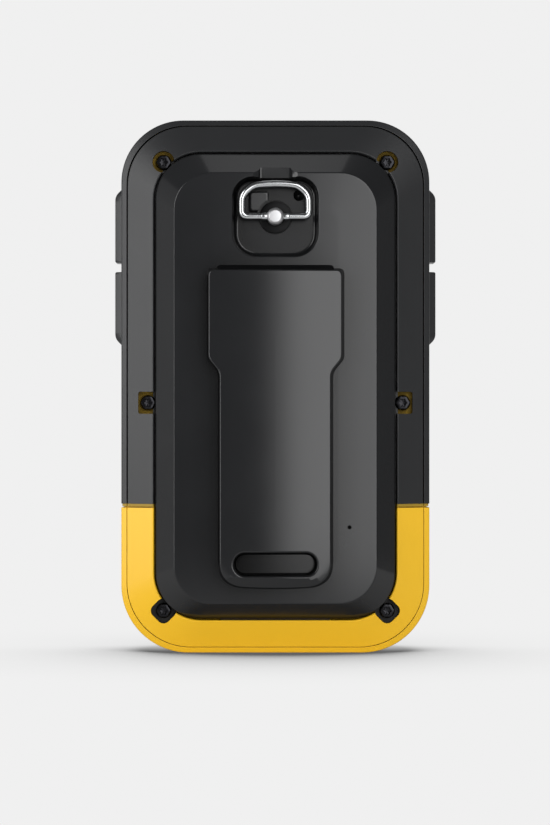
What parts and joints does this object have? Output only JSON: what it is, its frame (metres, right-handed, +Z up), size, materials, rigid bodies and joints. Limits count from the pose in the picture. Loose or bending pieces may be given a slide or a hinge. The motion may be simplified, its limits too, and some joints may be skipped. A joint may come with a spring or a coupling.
{
  "type": "handheld gps unit",
  "caption": "Upright handheld navigation unit with a hinged battery door, quarter-turn ring latch, mounting rail on its back and sprung side keys.",
  "frame": {"origin": "centre of the bounding box, at the level of the sole the unit stands on", "axes": "+Z up, -Y out of the back with the battery door, +Y out of the front with the display, +X to the right as the back is seen"},
  "size_m": [0.0616, 0.032, 0.1014],
  "materials": {
    "yellow_plastic": "fine satin moulded plastic",
    "black_rubber": "soft fine-textured overmould",
    "black_plastic": "fine spark-textured moulded plastic",
    "steel": "bright turned steel",
    "dark_steel": "black oxide",
    "nickel": "nickel plate",
    "cell_wrap": "plain printed sleeve",
    "board_green": "solder mask",
    "ceramic": "fired ceramic",
    "seal_grey": "silicone",
    "lens_dark": "clear hard-coated lens over a dark mask",
    "panel_grey": "display glass, switched off",
    "diffuser": "white",
    "strip_amber": "polyimide strip"
  },
  "bodies": {
    "case": {"front_case": "yellow_plastic", "rear_frame": "yellow_plastic", "front_overmould": "black_rubber", "rear_overmould": "black_rubber", "battery_tray": "black_plastic", "buzzer": "black_plastic", "stick_switch": "black_plastic", "case_gasket": "seal_grey", "door_gasket": "seal_grey", "lens_gasket": "seal_grey", "latch_keeper": "steel", "cell_left": "cell_wrap", "cell_right": "cell_wrap", "contact_left": "nickel", "contact_right": "nickel", "contact_bridge": "nickel", "shield_can": "nickel", "main_board": "board_green", "gnss_antenna": "ceramic", "lcd_backlight": "diffuser", "lcd_panel": "panel_grey", "display_lens": "lens_dark", "key_membrane_left": "seal_grey", "key_strip_left": "strip_amber", "key_dome_upper_left": "nickel", "key_dome_lower_left": "nickel", "case_screw_top_left": "dark_steel", "case_screw_side_left": "dark_steel", "case_screw_bottom_left": "dark_steel", "key_membrane_right": "seal_grey", "key_strip_right": "strip_amber", "key_dome_upper_right": "nickel", "key_dome_lower_right": "nickel", "case_screw_top_right": "dark_steel", "case_screw_side_right": "dark_steel", "case_screw_bottom_right": "dark_steel"},
    "door": {"battery_door": "black_plastic", "mounting_spine": "black_plastic", "vent_membrane": "diffuser", "latch_seal": "seal_grey"},
    "latch": {"latch_stem": "steel", "latch_tongue": "steel", "tongue_screw": "steel"},
    "ring": {"d_ring": "steel"},
    "stick": {"thumb_stick": "black_rubber"},
    "upper_key_left": {"key_upper_left": "black_rubber"},
    "lower_key_left": {"key_lower_left": "black_rubber"},
    "upper_key_right": {"key_upper_right": "black_rubber"},
    "lower_key_right": {"key_lower_right": "black_rubber"}
  },
  "joints": [
    {"name": "door_hinge", "type": "hinge", "parent": "case", "child": "door", "pos_m": [0, -0.0075, 0.00665], "axis": [1, 0, 0], "range_deg": [0, 70]},
    {"name": "latch_turn", "type": "hinge", "parent": "door", "child": "latch", "pos_m": [0, -0.0119, 0.08265], "axis": [0, 1, 0], "range_deg": [0, 90]},
    {"name": "ring_flip", "type": "hinge", "parent": "latch", "child": "ring", "pos_m": [0, -0.0119, 0.08265], "axis": [1, 0, 0], "range_deg": [0, 180]},
    {"name": "upper_key_left_press", "type": "slide", "parent": "case", "child": "upper_key_left", "axis": [1, 0, 0], "range_m": [0, 0.0005], "stiffness_N_per_m": 800},
    {"name": "lower_key_left_press", "type": "slide", "parent": "case", "child": "lower_key_left", "axis": [1, 0, 0], "range_m": [0, 0.0005], "stiffness_N_per_m": 800},
    {"name": "upper_key_right_press", "type": "slide", "parent": "case", "child": "upper_key_right", "axis": [-1, 0, 0], "range_m": [0, 0.0005], "stiffness_N_per_m": 800},
    {"name": "lower_key_right_press", "type": "slide", "parent": "case", "child": "lower_key_right", "axis": [-1, 0, 0], "range_m": [0, 0.0005], "stiffness_N_per_m": 800},
    {"name": "stick_press", "type": "slide", "parent": "case", "child": "stick", "axis": [0, -1, 0], "range_m": [0, 0.0003], "stiffness_N_per_m": 1500}
  ]
}
